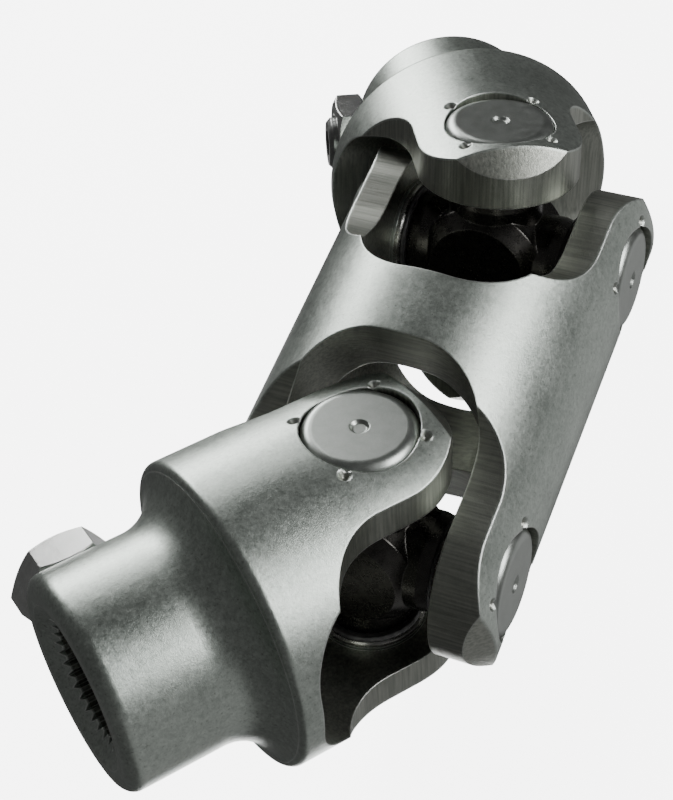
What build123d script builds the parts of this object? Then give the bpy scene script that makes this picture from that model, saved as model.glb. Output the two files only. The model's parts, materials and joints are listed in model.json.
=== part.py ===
# Double universal joint shaft: two splined end yokes, a centre yoke between them, and a needle-bearing
# cross at each joint. Millimetres. Every piece is written where it sits in the rest pose.
import os
from math import asin, cos, degrees, pi, radians, sin, sqrt

from build123d import *

# ---- driving sizes -------------------------------------------------------------------------------------
BODY_DIA = 41.275            # turned body of all three yokes, 1-5/8 in
HUB_DIA = 28.575             # splined hub of an end yoke, 1-1/8 in
PIN_SPACING = 48.1           # between the two cross centres
HUB_END = 41.4               # cross centre to the hub's end face
HUB_START = 28.5             # cross centre to where the flare's fillet runs out on the hub
HUB_ROUND = 1.9              # rounding of the hub's outer end edge
LIP_ROUND = 1.0              # rounding of the flare's lip

# fork ends, the same on all four
EAR_WIDTH = 22.1             # across an ear, along neither the pins nor the shaft
SLOT_WIDTH = 25.6            # between the inner faces of two ears
SLOT_CORNER = 9.7            # radius in the slot's bottom corners
NECK_START = 4.6             # cross centre to where an ear starts to widen
NECK_RADIUS = 10.3           # of the S-shaped neck
TIP_CHAMFER_START = 8.25     # cross centre to the outer edge of the turned tip chamfer
TIP_CHAMFER_DIA = 34.5       # of that chamfer at the ear's very tip

CENTRE_BORE_DIA = 25.2       # bore right through the centre yoke

# splined bore, 36 V teeth, and its set screw
SPLINE_TEETH = 36
SPLINE_MAJOR_DIA = 18.8      # at the bottom of the grooves
SPLINE_MINOR_DIA = 17.3      # at the tooth crests
SPLINE_LAND = 0.4            # share of each pitch left flat at the crest
MOUTH_DIA = 21.8             # countersink at the hub's end face
MOUTH_DEPTH = 1.95           # to where it runs out on the tooth crests
RELIEF_DIA = 20.4            # plain bore between the spline and the fork
RELIEF_PAST_SLOT = 1.4       # how far that runs past the slot's bottom
SCREW_DIA = 7.94             # 5/16-18 set screw
SCREW_PITCH = 25.4 / 18
SCREW_FROM_CROSS = 34.6      # cross centre to the screw, along the hub
SCREW_PROUD = 1.27           # how far the screw stands out of its nut
SCREW_SOCKET = 3.97          # hexagon socket, across flats
SCREW_POINT = 1.6            # length of the cone at its tip
SCREW_SOCKET_DEPTH = 4.0
NUT_ACROSS_FLATS = 12.7
NUT_THICKNESS = 4.76
NUT_COUNTERSINK = 0.5        # at both faces, and how far it opens the thread
SPOT_FACE_DEPTH = 0.6675     # of the flat under the nut, into the hub
SPOT_FACE_DIA = 15.6

# bearings
CAP_DIA = 14.8               # bearing cap, pressed into the ear
CAP_RECESS = 0.5175          # cap's outer face below the body's surface
CAP_FLOOR = 1.9              # thickness of that face
CAP_WALL = 1.2
CAP_REACH = 0.5              # how far the cap's open end stands out of the ear
CAP_ROUND = 1.6
CAP_CORNER = 0.4             # chamfer inside, round its floor
CAP_LEAD = 0.2               # chamfer inside, at its open end
CAP_DIMPLE_DIA = 2.5
CAP_DIMPLE_DEPTH = 0.4
ROLLER_DIA = 1.5
ROLLERS = 22
ROLLER_CHAMFER = 0.15
ROLLER_INSET = 1.3           # cap's open end to the rollers
STAKES = 4                   # punch marks that hold each cap
STAKE_OFFSET = 0.7           # cap's edge to the middle of a punch mark
STAKE_DIA = 1.8              # of a punch mark at the surface
STAKE_DEPTH = 0.9
RETAINER_LENGTH = 0.8
RETAINER_WALL = 1.0
SEAL_FLANGE = 0.55           # how far the seal stands out of the retainer
SEAL_STEP = 0.35             # how far the seal stays inside the cap's diameter
SEAL_SLEEVE = 1.2            # how far the seal reaches into the cap
LIP_CHAMFER = 0.25           # on the retainer, the seal and the seal's lip
BOSS_DIA = 13.0              # cross boss behind each seal
BOSS_TAPER = 1.6             # length over which the boss narrows to its face
HUB_SWELL = 2.4              # how far the cross's middle stands out between the bosses
HUB_HALF_HEIGHT = 7.1        # of the cross's middle
HUB_CHAMFER = 2.0
TRUNNION_CHAMFER = 0.8
TRUNNION_CENTRE_DIA = 2.8    # centre-drilling in each trunnion's end

# clearances
PRESS_GAP = 0.0              # caps in their ears, line to line
ROLLER_GAP = 0.01            # roller to cap wall
JOURNAL_GAP = 0.03           # trunnion to rollers, radial
END_GAP = 0.06               # trunnion end to cap floor
SEAL_GAP = 0.08              # seal to the cross, all round
ROLLER_END_GAP = 0.45        # rollers to cap floor
THREAD_GAP = 0.01            # set screw in hub and nut, radial
SCREW_GAP = 0.3              # screw's tip to the spline's grooves
SWING_GAP = 0.952            # bottom of a slot to the other fork's ear at full bend

# rest pose: how far each joint is bent, about the centre yoke's pins and then about the end yoke's
INPUT_BEND = (-17.0, 33.4)
OUTPUT_BEND = (-22.8, -31.3)

# how the bent shaft lies on a table, as turns about X, Y and Z; its lowest point comes to Z = 0
LAY = (180.0, 88.33, 128.57)

# ---- sizes that follow ---------------------------------------------------------------------------------
R = BODY_DIA / 2
HUB_R = HUB_DIA / 2
EAR_R = EAR_WIDTH / 2
FULL_BEND = radians(max(abs(bend) for bend in INPUT_BEND + OUTPUT_BEND))
SLOT_DEPTH = R * sin(FULL_BEND) + TIP_CHAMFER_START * cos(FULL_BEND) + SWING_GAP
FLARE_FILLET = R - HUB_R
FLARE_FACE = HUB_START - FLARE_FILLET
CAP_R = CAP_DIA / 2
CAP_FACE = R - CAP_RECESS
CAP_MOUTH = SLOT_WIDTH / 2 - CAP_REACH
SEAL_FACE = CAP_MOUTH - RETAINER_LENGTH - SEAL_FLANGE
STAKE_CIRCLE_R = CAP_R + STAKE_OFFSET
CAP_BORE_R = CAP_R - CAP_WALL
ROLLER_R = ROLLER_DIA / 2
ROLLER_CIRCLE_R = CAP_BORE_R - ROLLER_GAP - ROLLER_R
JOURNAL_R = ROLLER_CIRCLE_R - ROLLER_R - JOURNAL_GAP
CAP_FLOOR_AT = CAP_FACE - CAP_FLOOR
JOURNAL_END = CAP_FLOOR_AT - END_GAP
NUT_SEAT = HUB_R - SPOT_FACE_DEPTH
SCREW_R = SCREW_DIA / 2
SCREW_TOP = NUT_SEAT + NUT_THICKNESS + SCREW_PROUD
SCREW_TIP = SPLINE_MAJOR_DIA / 2 + SCREW_GAP
NECK_END = NECK_START + NECK_RADIUS


def turned(points_and_arcs):
    """Revolve a closed outline in the XZ plane about Z. Items are (x, z) or (x, z, mid_x, mid_z)."""
    edges = []
    last = points_and_arcs[-1][:2]
    for item in points_and_arcs:
        here = item[:2]
        if len(item) == 4:
            edges.append(ThreePointArc(last, item[2:], here))
        else:
            edges.append(Line(last, here))
        last = here
    outline = Face(Wire(edges))
    return revolve(Plane.XZ * outline, Axis.Z)


def upright(radius, length):
    """A cylinder standing on Z = 0."""
    return Cylinder(radius, length, align=(Align.CENTER, Align.CENTER, Align.MIN))


def ear_outline():
    """The ear seen along its pins, with body towards +Y of the sketch."""
    w, s, far = EAR_R, NECK_START, EAR_R + NECK_RADIUS
    m = NECK_RADIUS * sin(radians(45))
    return Face(Wire([
        ThreePointArc((-w, 0), (0, -w), (w, 0)),
        Line((w, 0), (w, s)),
        ThreePointArc((w, s), (far - m, s + m), (far, NECK_END)),
        Line((far, NECK_END), (-far, NECK_END)),
        ThreePointArc((-far, NECK_END), (-far + m, s + m), (-w, s)),
        Line((-w, s), (-w, 0)),
    ]))


def fork_cut():
    """What is taken from a turned bar to leave two ears on X, with the body towards +Z."""
    reach = R + 5
    low = -EAR_R - 5
    block = Rectangle(2 * (EAR_R + NECK_RADIUS), NECK_END - low, align=(Align.CENTER, Align.MIN))
    around = Pos(0, low) * block - ear_outline()
    sides = extrude(Plane.YZ * around, reach, both=True)
    h = SLOT_WIDTH / 2
    k = SLOT_CORNER * (1 - sin(radians(45)))
    bottom, side = SLOT_DEPTH, SLOT_DEPTH - SLOT_CORNER
    gap = Face(Wire([
        Line((-h, low), (h, low)),
        Line((h, low), (h, side)),
        ThreePointArc((h, side), (h - k, bottom - k), (h - SLOT_CORNER, bottom)),
        Line((h - SLOT_CORNER, bottom), (-h + SLOT_CORNER, bottom)),
        ThreePointArc((-h + SLOT_CORNER, bottom), (-h + k, bottom - k), (-h, side)),
        Line((-h, side), (-h, low)),
    ]))
    slot = extrude(Plane.XZ * gap, reach, both=True)
    bore = Rot(0, 90, 0) * Cylinder(CAP_R + PRESS_GAP, 2 * reach)
    return sides, slot, bore


def stakes():
    """Punch dents round both caps of a fork."""
    dents = []
    for side in (-1, 1):
        for i in range(STAKES):
            turn = 45 + 360 / STAKES * i
            across = STAKE_CIRCLE_R * sin(radians(turn))
            along = STAKE_CIRCLE_R * cos(radians(turn))
            surface = sqrt(R * R - across * across)
            tilt = degrees(asin(across / R))
            at = Pos(side * surface, across, along) * Rot(0, 0, side * tilt) * Rot(0, side * 90, 0)
            dents.append(at * Cone(0, STAKE_DIA, 2 * STAKE_DEPTH))
    return dents


def centre_yoke():
    half = PIN_SPACING / 2
    tip = half + EAR_R
    shoulder = half + TIP_CHAMFER_START
    bar = turned([(0, -tip), (TIP_CHAMFER_DIA / 2, -tip), (R, -shoulder), (R, shoulder),
                  (TIP_CHAMFER_DIA / 2, tip), (0, tip)])
    part = bar - Cylinder(CENTRE_BORE_DIA / 2, 2 * tip)
    ends = (Pos(0, 0, -half), Pos(0, 0, half) * Rot(180, 0, 0))
    for end in ends:
        sides, slot, bore = fork_cut()
        part = part - end * sides - end * slot
    for end in ends:
        part = part - end * bore
        for dent in stakes():
            part = part - end * dent
    return part


def spline_cutter(length):
    """A round bore at the tooth crests with a V groove between each two teeth."""
    crest, root = SPLINE_MINOR_DIA / 2, SPLINE_MAJOR_DIA / 2
    pitch = 2 * pi / SPLINE_TEETH
    half_groove = pitch * (1 - SPLINE_LAND) / 2
    points = []
    for i in range(SPLINE_TEETH):
        for radius, turn in ((crest, -half_groove), (root, 0), (crest, half_groove)):
            t = pitch * i + turn
            points.append((radius * cos(t), radius * sin(t)))
    grooves = extrude(Polygon(*points, align=None), length)
    return grooves + Cylinder(crest, length, align=(Align.CENTER, Align.CENTER, Align.MIN))


def end_yoke():
    r_face = HUB_R - HUB_ROUND
    tip = -EAR_R
    s45 = sin(radians(45))
    lip_z = FLARE_FACE - LIP_ROUND
    lip_r = R - LIP_ROUND
    # where the flare's fillet passes the radius at which the lip's rounding ends
    drop = sqrt(FLARE_FILLET ** 2 - LIP_ROUND ** 2)
    foot = HUB_START - drop
    a0 = asin(LIP_ROUND / FLARE_FILLET)
    am = (a0 + pi / 2) / 2
    part = turned([
        (0, tip), (TIP_CHAMFER_DIA / 2, tip), (R, -TIP_CHAMFER_START), (R, lip_z),
        (lip_r, FLARE_FACE, lip_r + LIP_ROUND * s45, lip_z + LIP_ROUND * s45),
        (lip_r, foot),
        (HUB_R, HUB_START, R - FLARE_FILLET * sin(am), HUB_START - FLARE_FILLET * cos(am)),
        (HUB_R, HUB_END - HUB_ROUND),
        (r_face, HUB_END, r_face + HUB_ROUND * s45, HUB_END - HUB_ROUND + HUB_ROUND * s45),
        (0, HUB_END),
    ])
    sides, slot, bore = fork_cut()
    part = part - sides - slot
    part = part - bore
    for dent in stakes():
        part = part - dent
    part = part - Pos(0, 0, SLOT_DEPTH) * spline_cutter(HUB_END - SLOT_DEPTH)
    part = part - upright(RELIEF_DIA / 2, SLOT_DEPTH + RELIEF_PAST_SLOT)
    mouth = Pos(0, 0, HUB_END - MOUTH_DEPTH / 2) * Cone(SPLINE_MINOR_DIA / 2, MOUTH_DIA / 2, MOUTH_DEPTH)
    part = part - mouth
    on_screw = Pos(0, 0, SCREW_FROM_CROSS) * Rot(90, 0, 0)
    part = part - on_screw * Pos(0, 0, NUT_SEAT) * upright(SPOT_FACE_DIA / 2, R)
    return part - on_screw * upright(SCREW_R + THREAD_GAP, R)


def set_screw():
    """Along its own Z, from the tip by the bore to the outer end. Thread ridges show at the outer end."""
    root = SCREW_R - 0.54 * SCREW_PITCH
    tip, top = SCREW_TIP, SCREW_TOP
    end_chamfer = 0.42 * SCREW_PITCH
    points = [(0, tip), (SCREW_R - SCREW_POINT, tip), (SCREW_R, tip + SCREW_POINT), (SCREW_R, NUT_SEAT)]
    ridges = int((top - end_chamfer - NUT_SEAT) / SCREW_PITCH)
    for i in range(ridges):
        for radius, share in ((root, 0.42), (root, 0.55), (SCREW_R, 0.97), (SCREW_R, 1.0)):
            points.append((radius, NUT_SEAT + (i + share) * SCREW_PITCH))
    points += [(SCREW_R, top - end_chamfer), (SCREW_R - end_chamfer, top), (0, top)]
    socket = extrude(RegularPolygon(SCREW_SOCKET / sqrt(3), 6), SCREW_SOCKET_DEPTH + 1)
    return turned(points) - Pos(0, 0, top - SCREW_SOCKET_DEPTH) * socket


def jam_nut():
    """Along its own Z. Two of its corners point along the hub."""
    corner = NUT_ACROSS_FLATS / sqrt(3)
    prism = extrude(Rot(0, 0, 30) * RegularPolygon(corner, 6), NUT_THICKNESS)
    face_r = NUT_ACROSS_FLATS / 2 * 0.97
    rise = (corner - face_r) * 0.6
    t = NUT_THICKNESS
    limit = turned([(0, 0), (face_r, 0), (corner, rise), (corner, t - rise), (face_r, t), (0, t)])
    nut = prism & limit
    r, c = SCREW_R + THREAD_GAP, NUT_COUNTERSINK
    hole = turned([(0, -c), (r + 2 * c, -c), (r, c), (r, t - c), (r + 2 * c, t + c), (0, t + c)])
    return Pos(0, 0, NUT_SEAT) * (nut - hole)


def bearing_cap():
    """Along +X, open end towards the cross."""
    r_in, f = CAP_BORE_R, CAP_FLOOR_AT
    s45 = sin(radians(45))
    edge = CAP_R - CAP_ROUND
    dimple_r, dimple_floor = CAP_DIMPLE_DIA / 2, CAP_FACE - CAP_DIMPLE_DEPTH
    return Rot(0, 90, 0) * turned([
        (0, f), (r_in - CAP_CORNER, f), (r_in, f - CAP_CORNER), (r_in, CAP_MOUTH + CAP_LEAD),
        (r_in + CAP_LEAD, CAP_MOUTH), (CAP_R, CAP_MOUTH),
        (CAP_R, CAP_FACE - CAP_ROUND),
        (edge, CAP_FACE, edge + CAP_ROUND * s45, CAP_FACE - CAP_ROUND + CAP_ROUND * s45),
        (dimple_r, CAP_FACE), (dimple_r - CAP_DIMPLE_DEPTH, dimple_floor), (0, dimple_floor),
    ])


def rollers():
    start, end = CAP_MOUTH + ROLLER_INSET, CAP_FLOOR_AT - ROLLER_END_GAP
    one = upright(ROLLER_R, end - start)
    one = chamfer(one.edges().filter_by(GeomType.CIRCLE), ROLLER_CHAMFER)
    step = 360 / ROLLERS
    ring = [Rot(0, 0, step * (i + 0.3)) * Pos(ROLLER_CIRCLE_R, 0, start) * one for i in range(ROLLERS)]
    return Rot(0, 90, 0) * Compound(children=ring)


def seal_retainer():
    outer, inner = CAP_R, CAP_R - RETAINER_WALL
    a, b = CAP_MOUTH - RETAINER_LENGTH, CAP_MOUTH
    c = LIP_CHAMFER
    return Rot(0, 90, 0) * turned([(inner, a), (outer - c, a), (outer, a + c), (outer, b), (inner, b)])


def seal():
    """Rubber lip seal: a flange in front of the retainer and a sleeve inside retainer and cap."""
    outer, bore = CAP_R - SEAL_STEP, JOURNAL_R + SEAL_GAP
    sleeve = CAP_R - RETAINER_WALL
    a, b = SEAL_FACE, CAP_MOUTH - RETAINER_LENGTH
    end = CAP_MOUTH + SEAL_SLEEVE
    c = LIP_CHAMFER
    return Rot(0, 90, 0) * turned([
        (bore + c, a), (outer - c, a), (outer, a + c), (outer, b), (sleeve, b), (sleeve, CAP_MOUTH),
        (CAP_BORE_R, CAP_MOUTH + CAP_LEAD), (CAP_BORE_R, end), (bore + c, end), (bore, end - c),
        (bore, a + c)])


def cross():
    """Trunnions on X and Y."""
    boss_r = BOSS_DIA / 2
    face = SEAL_FACE - SEAL_GAP
    drilled = TRUNNION_CENTRE_DIA / 2
    c = TRUNNION_CHAMFER
    half = [(drilled, JOURNAL_END), (JOURNAL_R - c, JOURNAL_END), (JOURNAL_R, JOURNAL_END - c),
            (JOURNAL_R, face), (boss_r - SEAL_STEP, face), (boss_r, face - BOSS_TAPER)]
    spindle = turned([(0, JOURNAL_END - drilled)] + half + [(x, -z) for x, z in reversed(half)]
                     + [(0, drilled - JOURNAL_END)])
    hub_r, hub_h, c = boss_r + HUB_SWELL, HUB_HALF_HEIGHT, HUB_CHAMFER
    middle = turned([(0, -hub_h), (hub_r - c, -hub_h), (hub_r, -hub_h + c), (hub_r, hub_h - c),
                     (hub_r - c, hub_h), (0, hub_h)])
    return middle + Rot(0, 90, 0) * spindle + Rot(90, 0, 0) * spindle


# ---- assembly ------------------------------------------------------------------------------------------
def main():
    os.makedirs("parts", exist_ok=True)
    lay = Rot(*LAY)
    half = PIN_SPACING / 2
    pieces = {"centre_yoke": lay * centre_yoke()}
    cap, needles, ring, rubber = bearing_cap(), rollers(), seal_retainer(), seal()
    yoke, spider, screw, nut = end_yoke(), cross(), set_screw(), jam_nut()

    def bearing_set(place, name):
        for suffix, turn in (("a", 0), ("b", 180)):
            at = place * Rot(0, 0, turn)
            pieces[f"{name}_cap_{suffix}"] = at * cap
            pieces[f"{name}_rollers_{suffix}"] = at * needles
            pieces[f"{name}_retainer_{suffix}"] = at * ring
            pieces[f"{name}_seal_{suffix}"] = at * rubber

    for name, z, bend, flip in (("input", -half, INPUT_BEND, Rot(180, 0, 0)),
                                ("output", half, OUTPUT_BEND, Rot(0, 0, 0))):
        centre = lay * Pos(0, 0, z)
        on_cross = centre * Rot(bend[0], 0, 0)
        on_yoke = centre * Rot(bend[0], bend[1], 0) * flip * Rot(0, 0, -90)
        pieces[f"{name}_cross"] = on_cross * spider
        pieces[f"{name}_yoke"] = on_yoke * yoke
        screw_at = on_yoke * Pos(0, 0, SCREW_FROM_CROSS) * Rot(90, 0, 0)
        pieces[f"{name}_set_screw"] = screw_at * screw
        pieces[f"{name}_jam_nut"] = screw_at * nut
        bearing_set(centre, f"centre_{name}")
        bearing_set(on_yoke, f"{name}_yoke")
    boxes = [shape.bounding_box() for shape in pieces.values()]
    down = Pos(-(min(b.min.X for b in boxes) + max(b.max.X for b in boxes)) / 2,
               -(min(b.min.Y for b in boxes) + max(b.max.Y for b in boxes)) / 2,
               -min(b.min.Z for b in boxes))
    for name, shape in pieces.items():
        export_step(down * shape, f"parts/{name}.step")


main()
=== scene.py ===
# Looks for the double universal joint shaft: materials for every CAD piece, floor, lights and camera.
# Lengths are metres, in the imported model's own frame.
import json
from math import cos, pi, radians, sin, tan

import bpy
from mathutils import Matrix, Vector


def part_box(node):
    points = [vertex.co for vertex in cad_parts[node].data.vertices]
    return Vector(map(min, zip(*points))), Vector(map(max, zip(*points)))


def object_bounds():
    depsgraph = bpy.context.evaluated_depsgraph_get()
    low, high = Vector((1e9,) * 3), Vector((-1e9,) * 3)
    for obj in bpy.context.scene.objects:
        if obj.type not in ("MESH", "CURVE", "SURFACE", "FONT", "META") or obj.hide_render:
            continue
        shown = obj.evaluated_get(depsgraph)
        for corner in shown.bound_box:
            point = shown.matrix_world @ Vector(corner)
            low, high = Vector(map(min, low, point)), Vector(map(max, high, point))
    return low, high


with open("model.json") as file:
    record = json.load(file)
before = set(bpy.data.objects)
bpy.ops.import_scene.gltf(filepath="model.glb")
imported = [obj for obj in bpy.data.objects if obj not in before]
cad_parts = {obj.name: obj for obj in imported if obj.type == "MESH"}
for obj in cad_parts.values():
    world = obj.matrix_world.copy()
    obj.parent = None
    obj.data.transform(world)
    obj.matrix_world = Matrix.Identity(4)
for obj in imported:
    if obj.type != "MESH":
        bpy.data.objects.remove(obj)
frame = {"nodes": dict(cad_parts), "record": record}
cad_box = [list(corner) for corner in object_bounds()]

MM = 0.001
BODY_RADIUS = 20.6375 * MM          # turned body of the yokes
MOUTH_RADIUS = 11.0 * MM            # just wider than the splined bore's mouth
MOUTH_START = 39.2 * MM             # cross centre to just short of that mouth
FORK_DEPTH = 19.3 * MM              # cross centre to just past the bottom of an end yoke's slot
NO_HUB = 1000 * MM                  # the same for the centre yoke, which is a fork all the way through
MILLED_FADE = (0.35 * MM, 0.1 * MM)  # depth where the milled look is full, and where it is gone
EDGE_RADIUS = 0.3 * MM              # how soft a machined edge of a yoke looks
FINE_EDGE_RADIUS = EDGE_RADIUS * 0.8  # the same on the small steel pieces
BEVEL_SAMPLES = 6
EDGE_WEAR_AND_HIGHLIGHT_TURN = (0.995, 0.93)           # cosine of the turn at an edge, where the wear and the painted edge highlight start and where they are full

# colours of the yokes' steel
TURNED_DARK, TURNED_LIGHT = (0.36, 0.40, 0.365), (0.60, 0.65, 0.60)
MILLED_DARK, MILLED_LIGHT = (0.24, 0.25, 0.22), (0.38, 0.385, 0.345)
SPECK = (0.20, 0.21, 0.19)
# near-white for machined edges: edge wear and a painted edge highlight
EDGE_WEAR_AND_HIGHLIGHT_COLOUR = (0.88, 0.90, 0.87)

# the photographer's place, looking down on the shaft from its left front
CAMERA_AT = Vector((-99.88, -174.41, 129.05)) * MM
CAMERA_AZIMUTH = 28.28              # degrees from +Y towards +X
CAMERA_DOWN = 26.71                 # degrees below the horizon
CAMERA_ROLL = 53.11                 # degrees, head leaning to the right
LENS = 74.3                         # for the sensor below, along the picture's longer side
SENSOR = 36
NEAREST_SEEN = 0.01

LIGHT_DISTANCE = 0.7                # shaft to softboxes
ROOM_LIGHT = 0.085
FLOOR_GLOW = 6.0                    # a light table's, so that the floor reads as pale as in the photo
FLOOR_SIZE = 40
FLOOR_GAP = 0.0001                  # floor to the lowest point of the shaft

# softboxes as seen from the shaft: degrees right of the camera and up, width and height in degrees, radiance
SOFTBOXES = {
    "key": (49, 16, 28, 38, 8.5),
    "rim": (-128, 56, 40, 20, 8.0),
    "top": (-97, 78, 14, 10, 5.0),
    "back": (180, 2, 40, 16, 0.7),
    "low_back": (176, -26, 20, 18, 7.0),
    "side": (122, -8, 50, 40, 0.4),
    "below": (90, -62, 100, 50, 0.22),
}


# ---- where things are ---------------------------------------------------------------------
def middle(node):
    low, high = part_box(node)
    return (Vector(low) + Vector(high)) / 2


def cross_centre(caps):
    return (middle(f"{caps}_cap_a") + middle(f"{caps}_cap_b")) / 2


def axes_of(node):
    """Origin and rotation of a yoke's own axes: Z along the yoke from a cross, X along the pins there."""
    if node == "centre_yoke":
        origin = cross_centre("centre_input")
        along = cross_centre("centre_output") - origin
        pins = middle("centre_input_cap_a") - origin
    else:
        origin = cross_centre(node)
        pins = middle(f"{node}_cap_a") - origin
        bore = node.replace("_yoke", "_splined_bore")
        mount = next(m for m in frame["record"]["mounts"] if m["name"] == bore)
        along = Vector(mount["axis"])
    z = along.normalized()
    x = (pins - pins.project(z)).normalized()
    y = z.cross(x)
    return origin, Matrix((x, y, z)).transposed()


# ---- shader building ----------------------------------------------------------------------
class Shader:
    """A node material written as short lines.
    A value is a number, a colour, a vector or another node's output."""

    def __init__(self, name):
        self.material = bpy.data.materials.new(name)
        self.material.use_nodes = True
        self.tree = self.material.node_tree
        self.bsdf = self.tree.nodes["Principled BSDF"]

    def node(self, kind, inputs=None, out=0, **settings):
        n = self.tree.nodes.new(kind)
        for key, value in settings.items():
            setattr(n, key, value)
        for key, value in (inputs or {}).items():
            self.put(n.inputs[key], value)
        return n.outputs[out]

    def put(self, socket, value):
        if isinstance(value, bpy.types.NodeSocket):
            self.tree.links.new(value, socket)
        elif socket.type == "RGBA" and len(value) == 3:
            socket.default_value = (*value, 1)
        else:
            socket.default_value = value

    def set(self, **inputs):
        for key, value in inputs.items():
            self.put(self.bsdf.inputs[key.replace("_", " ")], value)

    def math(self, operation, a, b=0.0):
        return self.node("ShaderNodeMath", {0: a, 1: b}, operation=operation)

    def span(self, value, low, high, to_low=0.0, to_high=1.0):
        return self.node("ShaderNodeMapRange", {"Value": value, "From Min": low, "From Max": high,
                                                "To Min": to_low, "To Max": to_high})

    def mix(self, factor, a, b):
        return self.node("ShaderNodeMix", {0: factor, 6: a, 7: b}, out=2, data_type="RGBA")

    def coords(self):
        """The piece's own coordinates, in millimetres."""
        place = self.node("ShaderNodeTexCoord", out=3)
        return self.node("ShaderNodeVectorMath", {0: place, "Scale": 1 / MM}, operation="SCALE")

    def noise(self, where, scale, detail=3.0, rough=0.55, stretch=None):
        if stretch:
            where = self.node("ShaderNodeVectorMath", {0: where, 1: stretch}, operation="MULTIPLY")
        return self.node("ShaderNodeTexNoise", {"Vector": where, "Scale": scale, "Detail": detail,
                                                "Roughness": rough})

    def rounded(self, radius):
        """The surface's normal, turned over smoothly at edges."""
        return self.node("ShaderNodeBevel", {"Radius": radius}, samples=BEVEL_SAMPLES)

    def bump(self, height, distance, normal):
        """Relief of a height from 0 to 1 over a distance in millimetres."""
        return self.node("ShaderNodeBump", {"Height": height, "Distance": distance * MM, "Strength": 1.0,
                                            "Normal": normal})


def local_coords(s, origin, turn):
    """A point's place in a yoke's own axes, in millimetres: as a vector, and as its three parts."""
    place = s.node("ShaderNodeTexCoord", out=3)
    moved = s.node("ShaderNodeVectorMath", {0: place, 1: origin}, operation="SUBTRACT")
    parts = [s.math("MULTIPLY", s.node("ShaderNodeVectorMath", {0: moved, 1: turn.col[i]}, out=1,
                                       operation="DOT_PRODUCT"), 1 / MM) for i in range(3)]
    return s.node("ShaderNodeCombineXYZ", {0: parts[0], 1: parts[1], 2: parts[2]}), parts


def edge_wear_and_highlight(s, normal):
    """1 on a machined edge, where wear and a painted edge highlight go, 0 on the faces beside it."""
    flat = s.node("ShaderNodeNewGeometry", out=1)
    turned = s.node("ShaderNodeVectorMath", {0: flat, 1: normal}, out=1, operation="DOT_PRODUCT")
    return s.span(turned, *EDGE_WEAR_AND_HIGHLIGHT_TURN)


def yoke_steel(name, origin, turn, fork_end):
    """Blasted steel: satin where it was turned, darker with cutter lines where it was milled.
    The milled part is inside the turned skin, short of fork_end, and in the splined bore."""
    s = Shader(name)
    where, (x, y, z) = local_coords(s, origin, turn)
    normal = s.rounded(EDGE_RADIUS)
    radius = s.math("SQRT", s.math("ADD", s.math("MULTIPLY", x, x), s.math("MULTIPLY", y, y)))
    full, none = [(BODY_RADIUS - depth) / MM for depth in MILLED_FADE]
    inside = s.span(radius, full, none, 1.0, 0.0)
    bore = s.math("MULTIPLY", s.math("LESS_THAN", radius, MOUTH_RADIUS / MM),
                  s.math("LESS_THAN", z, MOUTH_START / MM))
    in_fork = s.math("LESS_THAN", z, fork_end / MM)
    milled = s.math("MULTIPLY", inside, s.math("MAXIMUM", in_fork, bore))
    cloud = s.noise(where, 0.12, 4.0)
    mottle = s.noise(where, 1.3, 5.0, 0.7)
    grain = s.noise(where, 3.0, 3.0, 0.7)
    fine = s.noise(where, 7.0, 2.0, 0.6)
    cutter = s.noise(where, 1.0, 2.0, 0.5, stretch=(0.12, 3.0, 3.0))
    tone = s.math("ADD", s.math("MULTIPLY", cloud, 0.25), s.math("MULTIPLY", mottle, 0.45))
    tone = s.math("ADD", tone, s.math("MULTIPLY", grain, 0.3))
    colour = s.mix(s.span(tone, 0.38, 0.62), TURNED_DARK, TURNED_LIGHT)
    specks = s.span(s.noise(where, 2.4, 2.0, 0.8), 0.60, 0.72)
    colour = s.mix(s.math("MULTIPLY", specks, 0.6), colour, SPECK)
    streaked = s.mix(s.span(cutter, 0.35, 0.65), MILLED_DARK, MILLED_LIGHT)
    colour = s.mix(s.math("MULTIPLY", milled, 0.85), colour, streaked)
    # machined edges painted near-white: edge wear and a painted edge highlight
    colour = s.mix(s.math("MULTIPLY", edge_wear_and_highlight(s, normal), 0.7), colour, EDGE_WEAR_AND_HIGHLIGHT_COLOUR)
    rough = s.math("ADD", s.span(tone, 0.35, 0.65, 0.30, 0.42), s.math("MULTIPLY", milled, 0.04))
    relief = s.math("ADD", s.math("MULTIPLY", grain, 0.55), s.math("MULTIPLY", fine, 0.45))
    relief = s.math("ADD", relief, s.math("MULTIPLY", s.math("MULTIPLY", cutter, milled), 0.5))
    s.set(Base_Color=colour, Metallic=1.0, Roughness=rough, Normal=s.bump(relief, 0.03, normal))
    return s.material


def plain_steel(name, dark, light, rough, grain_height=0.01, scratches=0.0):
    """Steel of one finish all over: grain_height in millimetres, scratches as a share of the grain."""
    s = Shader(name)
    where = s.coords()
    normal = s.rounded(FINE_EDGE_RADIUS)
    mottle = s.noise(where, 0.7, 5.0, 0.6)
    grain = s.noise(where, 5.0, 3.0, 0.6)
    lines = s.noise(where, 1.0, 3.0, 0.6, stretch=(0.5, 7.0, 2.0))
    tone = s.math("ADD", s.math("MULTIPLY", mottle, 0.6), s.math("MULTIPLY", grain, 0.4))
    colour = s.mix(s.span(tone, 0.35, 0.65), dark, light)
    # edges painted lighter: edge wear and a painted edge highlight
    bright = tuple(min(1.0, c * 1.6 + 0.1) for c in light)
    colour = s.mix(s.math("MULTIPLY", edge_wear_and_highlight(s, normal), 0.3), colour, bright)
    relief = s.math("ADD", grain, s.math("MULTIPLY", lines, scratches))
    uneven = s.span(tone, 0.3, 0.7, rough - 0.05, rough + 0.07)
    s.set(Base_Color=colour, Metallic=1.0, Roughness=uneven, Normal=s.bump(relief, grain_height, normal))
    return s.material


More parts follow.
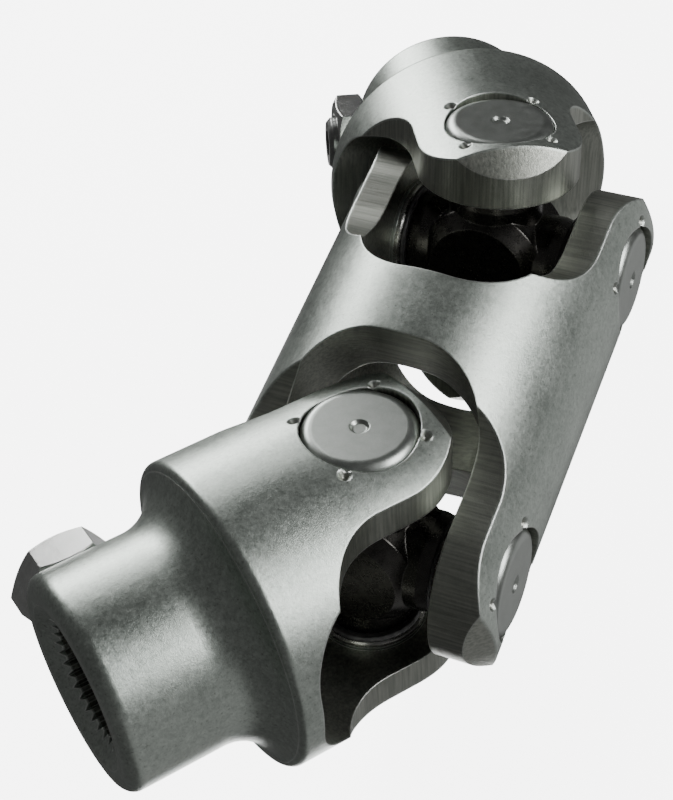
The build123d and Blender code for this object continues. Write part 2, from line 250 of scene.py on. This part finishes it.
def rubber(name):
    s = Shader(name)
    where = s.coords()
    dust = s.noise(where, 1.4, 5.0, 0.65)
    grain = s.noise(where, 8.0, 2.0)
    colour = s.mix(s.span(dust, 0.4, 0.75), (0.012, 0.012, 0.012), (0.035, 0.036, 0.034))
    s.set(Base_Color=colour, Roughness=s.span(dust, 0.3, 0.7, 0.28, 0.45),
          Normal=s.bump(grain, 0.012, s.rounded(EDGE_RADIUS)))
    return s.material


def finish_of(node):
    """Which of the shared materials a CAD node takes, or None for a yoke, which has its own."""
    for part, key in (("rollers", "roller"), ("seal", "rubber"), ("retainer", "bright"),
                      ("jam_nut", "nut"), ("set_screw", "screw"), ("_cap_", "cap"), ("cross", "black")):
        if part in node:
            return key
    return None


def dress():
    shared = {
        "roller": plain_steel("ground_steel", (0.5, 0.5, 0.5), (0.7, 0.7, 0.7), 0.22),
        "rubber": rubber("seal_rubber"),
        "bright": plain_steel("retainer_steel", (0.35, 0.35, 0.33), (0.5, 0.5, 0.48), 0.25),
        "nut": plain_steel("bright_zinc", (0.62, 0.63, 0.61), (0.78, 0.79, 0.77), 0.2, 0.006, 0.4),
        "screw": plain_steel("screw_steel", (0.2, 0.205, 0.2), (0.36, 0.37, 0.36), 0.3),
        "cap": plain_steel("cap_steel", (0.36, 0.385, 0.36), (0.44, 0.465, 0.44), 0.33, 0.004, 0.2),
        "black": plain_steel("black_oxide", (0.05, 0.048, 0.045), (0.09, 0.087, 0.08), 0.27, 0.008),
    }
    for node, obj in frame["nodes"].items():
        key = finish_of(node)
        if key:
            material = shared[key]
        else:
            fork_end = NO_HUB if node == "centre_yoke" else FORK_DEPTH
            material = yoke_steel(f"{node}_steel", *axes_of(node), fork_end)
        obj.data.materials.clear()
        obj.data.materials.append(material)


# ---- the studio ---------------------------------------------------------------------------
def place_camera():
    """Sets the camera, and gives its right, up and back directions."""
    camera = bpy.data.cameras.new("camera")
    camera.lens = LENS
    camera.sensor_width = SENSOR
    camera.clip_start = NEAREST_SEEN
    eye = bpy.data.objects.new("camera", camera)
    a, d = radians(CAMERA_AZIMUTH), radians(CAMERA_DOWN)
    ahead = Vector((sin(a) * cos(d), cos(a) * cos(d), -sin(d)))
    level = ahead.cross(Vector((0, 0, 1))).normalized()
    upright = level.cross(ahead)
    r = radians(CAMERA_ROLL)
    up = upright * cos(r) + level * sin(r)
    right = ahead.cross(up)
    eye.matrix_world = Matrix.Translation(CAMERA_AT) @ Matrix((right, up, -ahead)).transposed().to_4x4()
    bpy.context.collection.objects.link(eye)
    bpy.context.scene.camera = eye
    return right, up, -ahead


def softbox(name, eye, azimuth, elevation, width, height, radiance):
    """A rectangular light, placed as SOFTBOXES says. Width and height are the angles that it fills."""
    right, up, back = eye
    a, e = radians(azimuth), radians(elevation)
    toward = right * sin(a) * cos(e) + up * sin(e) + back * cos(a) * cos(e)
    across = (right * cos(a) - back * sin(a)).normalized()
    light = bpy.data.lights.new(name, "AREA")
    light.shape = "RECTANGLE"
    light.size = 2 * LIGHT_DISTANCE * tan(radians(width / 2))
    light.size_y = 2 * LIGHT_DISTANCE * tan(radians(height / 2))
    light.energy = radiance * pi * light.size * light.size_y
    box = bpy.data.objects.new(name, light)
    place = shaft_middle() + toward * LIGHT_DISTANCE
    turn = Matrix((across, toward.cross(across), toward)).transposed()
    box.matrix_world = Matrix.Translation(place) @ turn.to_4x4()
    box.visible_camera = False
    bpy.context.collection.objects.link(box)


def shaft_middle():
    low, high = (Vector(corner) for corner in cad_box)
    return (low + high) / 2


def studio(eye):
    world = bpy.data.worlds.new("studio")
    bpy.context.scene.world = world
    world.use_nodes = True
    background = world.node_tree.nodes["Background"]
    background.inputs["Color"].default_value = (1, 1, 1, 1)
    background.inputs["Strength"].default_value = ROOM_LIGHT
    for name, place in SOFTBOXES.items():
        softbox(name, eye, *place)
    lay_floor()


def lay_floor():
    bpy.ops.mesh.primitive_plane_add(size=FLOOR_SIZE, location=(0, 0, cad_box[0][2] - FLOOR_GAP))
    floor = bpy.context.object
    floor.name = "floor"
    s = Shader("floor_paper")
    haze = s.noise(s.coords(), 0.002, 2.0)
    colour = s.mix(haze, (0.93, 0.93, 0.93), (0.96, 0.96, 0.96))
    s.set(Base_Color=colour, Roughness=0.95, Emission_Color=(1, 1, 1), Emission_Strength=FLOOR_GLOW)
    floor.data.materials.append(s.material)
    # the light table doesn't mirror in the metal or stand in the way of the softboxes
    floor.visible_glossy = False
    floor.visible_shadow = False


dress()
studio(place_camera())
